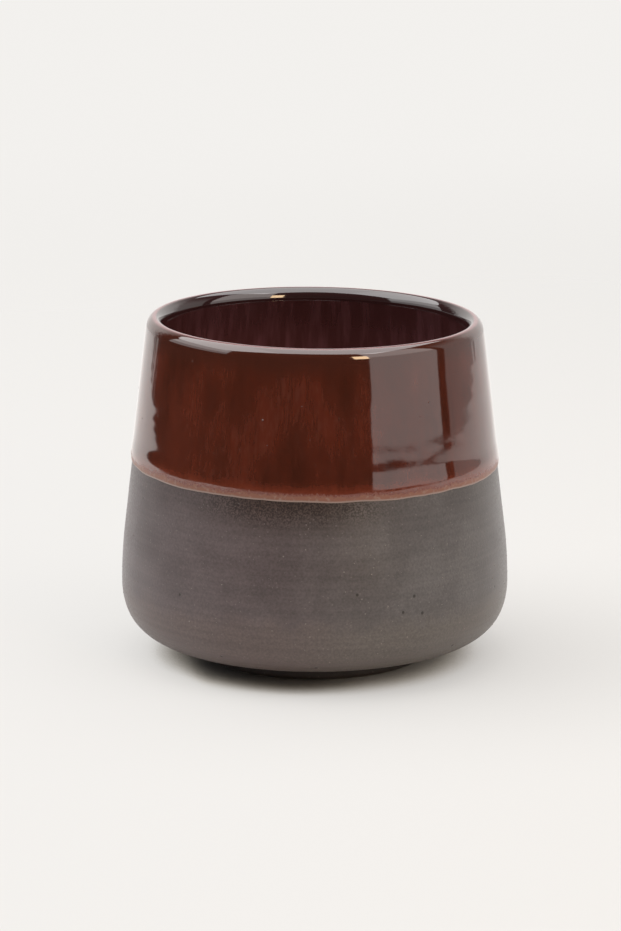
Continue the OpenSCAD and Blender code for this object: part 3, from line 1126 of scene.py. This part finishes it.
class Backdrop:
    """How far behind the cup each part of the backdrop starts and is full, as the cup sees it."""

    LEFT = (0.62, 0.78)
    RIGHT = (0.66, 0.70)
    # A sheet in front of the right side, and its share of the light
    SHEET = (0.10, 0.12)
    SHEET_SHARE = 0.45
    # How high up the backdrop ends and is full, and the size of its folds
    TOP = (0.74, 0.34)
    FOLDS = 0.03


def add_world(studio):
    """A pale background for the camera; for the cup, a pale backdrop behind it and a dim room in front."""
    world = bpy.data.worlds.new("studio")
    bpy.context.scene.world = world
    world.use_nodes = True
    tree = world.node_tree
    tree.nodes.clear()
    nodes = Nodes(tree)
    x, y, z = nodes.parts(nodes.add("ShaderNodeTexCoord", output="Generated"))
    behind = nodes.maths("DIVIDE", y, nodes.largest(nodes.level_distance(x, y), 0.001))
    folds = nodes.noise(nodes.xyz(x, 0.0, z), Backdrop.FOLDS)
    draped = nodes.total(behind, nodes.stray(folds, studio.drape))
    left_white = nodes.rise(draped, *Backdrop.LEFT)
    right_white = nodes.total(
        nodes.rise(behind, *Backdrop.SHEET, 0.0, Backdrop.SHEET_SHARE),
        nodes.rise(draped, *Backdrop.RIGHT, 0.0, 1.0 - Backdrop.SHEET_SHARE))
    white = nodes.add("ShaderNodeMix", {
        0: nodes.maths("GREATER_THAN", x, 0.0), 2: left_white, 3: right_white}, data_type="FLOAT")
    white = nodes.product(white, nodes.rise(z, *Backdrop.TOP))
    room = (studio.room, studio.room, studio.room)
    around = nodes.blend(white, room, [tone * studio.backdrop_level for tone in studio.backdrop])
    seen = nodes.blend(nodes.camera_ray(), around, studio.backdrop)
    background = nodes.add("ShaderNodeBackground", {"Color": seen, "Strength": 1.0})
    nodes.feed(tree.nodes.new("ShaderNodeOutputWorld").inputs["Surface"], background)


class Floor:
    """Places across the floor where its painted shade changes, and how its sheet ends."""

    SIDES = 96
    LIFT = (-60 * MM, 60 * MM)
    HEEL = (-24 * MM, -18 * MM)
    OPEN = (-6 * MM, 12 * MM)
    # Openness at which the floor's painted shadow is dark and is bright: on the left, under the heel and on
    # the right
    SHADES = ((0.055, 0.115, 0.035), (0.34, 0.40, 0.33))
    FRONT_BLUR = 0.02
    SIDE_BLUR = 0.01
    CURL = 0.05


def floor_seen(nodes, x, studio):
    """The floor as the camera sees it: its own glow where nothing is near, cut into a painted shadow near the
    cup by occlusion and by place, and the lamps' light.
    """
    shade = nodes.add("ShaderNodeAmbientOcclusion", {"Distance": studio.floor_reach}, "AO")
    dark_and_bright = [
        nodes.total(
            nodes.rise(x, *Floor.HEEL, left, heel), nodes.rise(x, *Floor.OPEN, 0.0, right - heel))
        for left, heel, right in Floor.SHADES]
    # Painted shadow: occlusion and place across the floor set how much of the floor's own glow is kept
    openness = nodes.rise(shade, *dark_and_bright)
    lift = nodes.rise(x, *Floor.LIFT, studio.lift_left, studio.lift_right)
    glow_with_painted_shadow = nodes.add("ShaderNodeEmission", {
        "Color": nodes.blend(openness, studio.shadow, studio.backdrop),
        "Strength": nodes.product(openness, lift)})
    open_share = nodes.maths("DIVIDE", nodes.maths("SUBTRACT", 1.0, lift), studio.floor_level)
    lit = nodes.add("ShaderNodeBsdfDiffuse", {"Color": nodes.scaled(studio.backdrop, open_share)})
    return nodes.add("ShaderNodeAddShader", {0: glow_with_painted_shadow, 1: lit})


def floor_past_sheet(nodes, where, x, y, studio):
    """1 past the front and the two sides of the sheet that lights the cup from below, 0 on it."""
    curl = nodes.stray(nodes.noise(where, Floor.CURL), studio.paper_curl)
    front_side = nodes.total(curl, nodes.product(y, -1.0))
    left_side = nodes.total(curl, nodes.product(y, studio.left_slant), nodes.product(x, -1.0))
    right_side = nodes.total(curl, nodes.product(y, studio.right_slant), x)
    return nodes.largest(*(
        nodes.rise(side, reach, reach + blur) for side, reach, blur in (
            (front_side, studio.paper_front, Floor.FRONT_BLUR),
            (left_side, studio.paper_left, Floor.SIDE_BLUR),
            (right_side, studio.paper_right, Floor.SIDE_BLUR))))


def add_floor(studio):
    """A pale round floor that keeps the cup's shadow and fades into the background."""
    material, nodes, where, surface = new_material("pale_floor")
    x, y, _ = nodes.parts(where)
    camera_ray = nodes.camera_ray()
    paper = nodes.add("ShaderNodeBsdfDiffuse", {"Color": rgba(studio.floor)})
    solid = nodes.add("ShaderNodeMixShader", {0: camera_ray, 1: paper, 2: floor_seen(nodes, x, studio)})
    clear = nodes.add("ShaderNodeBsdfTransparent")
    underneath = nodes.add("ShaderNodeNewGeometry", output="Backfacing")
    far = nodes.rise(nodes.level_distance(x, y), studio.floor_near, studio.floor_far)
    past_sheet = floor_past_sheet(nodes, where, x, y, studio)
    fade = nodes.largest(underneath, nodes.total(
        nodes.product(camera_ray, far),
        nodes.product(nodes.maths("SUBTRACT", 1.0, camera_ray), past_sheet)))
    nodes.feed(surface, nodes.add("ShaderNodeMixShader", {0: fade, 1: solid, 2: clear}))
    turns = steps_between(0.0, math.tau, Floor.SIDES)[:-1]
    rim = [(studio.floor_radius * math.cos(a), studio.floor_radius * math.sin(a), 0.0) for a in turns]
    mesh = bpy.data.meshes.new("pale_floor")
    mesh.from_pydata(rim, [], [list(range(Floor.SIDES))])
    mesh.materials.append(material)
    new_piece("pale_floor", mesh)


def add_camera(studio):
    """The camera, at the photograph's viewing angle."""
    lens = bpy.data.cameras.new("view")
    lens.lens = studio.focal_pixels * lens.sensor_width / PICTURE_HEIGHT
    lens.shift_x = -studio.right_pixels / PICTURE_HEIGHT
    camera = bpy.data.objects.new("view", lens)
    back = heading(0.0, studio.camera_pitch)
    camera.location = Vector((0.0, 0.0, studio.aim_height)) + back * studio.camera_distance
    camera.rotation_mode = "QUATERNION"
    roll = Quaternion((0.0, 0.0, 1.0), studio.camera_roll)
    camera.rotation_quaternion = (-back).to_track_quat("-Z", "Y") @ roll
    bpy.context.scene.collection.objects.link(camera)
    bpy.context.scene.camera = camera


# Operators

class CUP_OT_set_stage(bpy.types.Operator):
    """Sets the camera, the floor, the lamps and the background"""

    bl_idname = "cup.set_stage"
    bl_label = "Set the stage"

    def execute(self, context):
        studio = context.scene.cup_studio
        add_camera(studio)
        add_floor(studio)
        add_lamps(studio)
        add_world(studio)
        context.scene.view_settings.view_transform = "Standard"
        return {"FINISHED"}


class CUP_OT_turn_clay(bpy.types.Operator):
    """Turns the clay body with its foot ring, bare below the glaze line"""

    bl_idname = "cup.turn_clay"
    bl_label = "Turn the clay"

    def execute(self, context):
        shape, marks = context.scene.cup_shape, context.scene.cup_marks
        lines = CupLines(shape)
        bare_top = shape.glaze_line + Spacing.BARE_TOP
        hidden_foot = shape.glaze_line + Spacing.HIDDEN_FOOT
        shown = lines.foot(Spacing.FOOT)
        shown += [s for s in lines.outside(Spacing.BARE_CLAY) if s.height < bare_top]
        hidden = [s for s in lines.outside(Spacing.HIDDEN_CLAY) if s.height > hidden_foot]
        hidden += lines.lip(Spacing.CLAY_LIP)[1:] + lines.inside(Spacing.HIDDEN_CLAY)[1:]
        stations = shown + hidden
        piece = profile_piece("clay_turned", stations, {
            "run": run_lengths(stations),
            "lines": [turning_share(s, shape) for s in shown] + [0.0] * len(hidden),
            "rings": [throwing_share(s, shape) for s in stations]})
        material = bare_stoneware(shape, context.scene.cup_finish)
        run_tree(piece, fetched("wheel", wheel_tree), wheel_values(shape, marks, lines, material))
        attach(piece, BODY)
        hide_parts("clay_body")
        return {"FINISHED"}


class CUP_OT_dip_glaze(bpy.types.Operator):
    """Coats the lip and the upper outside with the dipped glaze, thinning to a rolled edge"""

    bl_idname = "cup.dip_glaze"
    bl_label = "Dip the outer glaze"

    def execute(self, context):
        shape, marks = context.scene.cup_shape, context.scene.cup_marks
        lines = CupLines(shape)
        outside = lines.outside(Spacing.OUTER_GLAZE)
        depth, roll = shape.glaze_thickness, shape.glaze_roll
        roll_top = shape.glaze_line + roll
        coat = [
            (at_height(outside, roll_top - roll * math.cos(a)), depth * math.sin(a))
            for a in steps_between(0.0, math.pi / 2, Spacing.ROLL_STEPS)]
        full_foot = roll_top + Spacing.OUTER_GLAZE / 2
        lip = lines.lip(Spacing.GLAZE_LIP)
        lip = lip[:-2] + braced(lip[:-3:-1], Spacing.GLAZE_BRACE)[::-1]
        full = [s for s in outside if s.height > full_foot] + lip[1:]
        coat += [(s, depth) for s in full]
        over = [s.raised(thickness + bead_swell(s, shape)) for s, thickness in coat]
        under = [s.raised(-Spacing.BITE) for s, _ in reversed(coat[::Spacing.UNDER_STEP] + coat[-1:])]
        stations = over + under + over[:1]
        still = [0.0] * (len(under) + 1)
        wave_start, wave_stop = (shape.glaze_line + level for level in Fade.EDGE)
        piece = profile_piece("dipped_glaze", stations, {
            "rings": [throwing_share(s, shape) for s in stations],
            "drum": [shape.belly_diameter / 2] * len(stations),
            "ripple": [1.0 if s.height > wave_start else 0.0 for s in over] + still,
            "edge": [1.0 - smooth_share(s.height, wave_start, wave_stop) for s in stations],
            "edge_distance": [max(0.0, s.height - shape.glaze_line) for s in stations],
            "lip_share": [lines.lip_share(s) for s in stations]})
        material = dipped_glaze_finish(shape, context.scene.cup_finish)
        run_tree(piece, fetched("wheel", wheel_tree), wheel_values(shape, marks, lines, material))
        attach(piece, BODY)
        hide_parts("outer_glaze")
        return {"FINISHED"}


class CUP_OT_pour_liner(bpy.types.Operator):
    """Coats the inside with the poured glaze, from the lip to the middle of the floor"""

    bl_idname = "cup.pour_liner"
    bl_label = "Pour the liner glaze"

    def execute(self, context):
        shape, marks = context.scene.cup_shape, context.scene.cup_marks
        lines = CupLines(shape)
        inside = braced(lines.inside(Spacing.LINER), Spacing.LINER_BRACE)
        over = [s.raised(shape.glaze_thickness) for s in inside]
        fewer = inside[:1] + inside[1:-1:Spacing.UNDER_STEP] + inside[-1:]
        under = [s.raised(-Spacing.BITE) for s in reversed(fewer)]
        over[-1] = over[-1]._replace(radius=0.0)
        under[0] = under[0]._replace(radius=0.0)
        stations = under + over
        still = [0.0] * (len(under) + 1)
        piece = profile_piece("poured_liner", stations, {
            "drum": [s.radius for s in stations],
            "ripple": still + [smooth_share(s.radius, 0.0, Fade.POOL) for s in over[1:]]})
        material = liner_glaze_finish(shape, context.scene.cup_finish)
        run_tree(piece, fetched("wheel", wheel_tree), wheel_values(shape, marks, lines, material))
        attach(piece, BODY)
        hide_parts("liner_glaze")
        return {"FINISHED"}


class CUP_OT_scatter_grains(bpy.types.Operator):
    """Scatters grog over the bare clay and small blisters over the outer glaze"""

    bl_idname = "cup.scatter_grains"
    bl_label = "Scatter grog and blisters"

    def execute(self, context):
        shape, marks, finish = context.scene.cup_shape, context.scene.cup_marks, context.scene.cup_finish
        tree = fetched("scatter", scatter_tree)
        grog = new_piece("clay_grog", bpy.data.objects["clay_turned"].data.copy())
        run_tree(grog, tree, {
            "density": marks.grog_density, "seed": marks.seed, "smallest": marks.grog_smallest,
            "largest": marks.grog_largest, "flatness": Scatter.GROG_FLATNESS,
            "low": shape.foot_height + Scatter.GROG_ABOVE_FOOT,
            "high": shape.glaze_line - Scatter.GROG_BELOW_LINE, "material": fired_grog(finish)})
        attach(grog, BODY)
        blisters = new_piece("glaze_blisters", bpy.data.objects["dipped_glaze"].data.copy())
        run_tree(blisters, tree, {
            "density": marks.blister_density, "seed": marks.seed + 1, "smallest": marks.blister_smallest,
            "largest": marks.blister_largest, "flatness": Scatter.BLISTER_FLATNESS,
            "low": shape.glaze_line + Scatter.BLISTER_ABOVE_LINE,
            "high": shape.cup_height - Scatter.BLISTER_BELOW_LIP, "material": blister_glaze(finish)})
        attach(blisters, BODY)
        return {"FINISHED"}


class CUP_PT_sidebar(bpy.types.Panel):
    """Lists the cup's steps and settings"""

    bl_idname = "CUP_PT_sidebar"
    bl_label = "Espresso cup"
    bl_space_type = "VIEW_3D"
    bl_region_type = "UI"
    bl_category = "Cup"

    def draw(self, context):
        for operator in OPERATORS:
            self.layout.operator(operator.bl_idname)
        for holder, group in SETTINGS.items():
            box = self.layout.box()
            box.label(text=group.__doc__)
            for setting in group.__annotations__:
                box.prop(getattr(context.scene, holder), setting)


OPERATORS = (
    CUP_OT_set_stage, CUP_OT_turn_clay, CUP_OT_dip_glaze, CUP_OT_pour_liner, CUP_OT_scatter_grains)


def register():
    """Registers the settings, the operators and the panel."""
    for item in (*SETTINGS.values(), *OPERATORS, CUP_PT_sidebar):
        bpy.utils.register_class(item)
    for holder, group in SETTINGS.items():
        setattr(bpy.types.Scene, holder, bpy.props.PointerProperty(type=group))


def unregister():
    """Takes away what register added."""
    for holder in SETTINGS:
        delattr(bpy.types.Scene, holder)
    for item in (CUP_PT_sidebar, *reversed(OPERATORS), *reversed(SETTINGS.values())):
        bpy.utils.unregister_class(item)


def main():
    """Builds the cup and its stage."""
    register()
    bpy.ops.cup.set_stage()
    bpy.ops.cup.turn_clay()
    bpy.ops.cup.dip_glaze()
    bpy.ops.cup.pour_liner()
    bpy.ops.cup.scatter_grains()


if __name__ == "__main__":
    main()
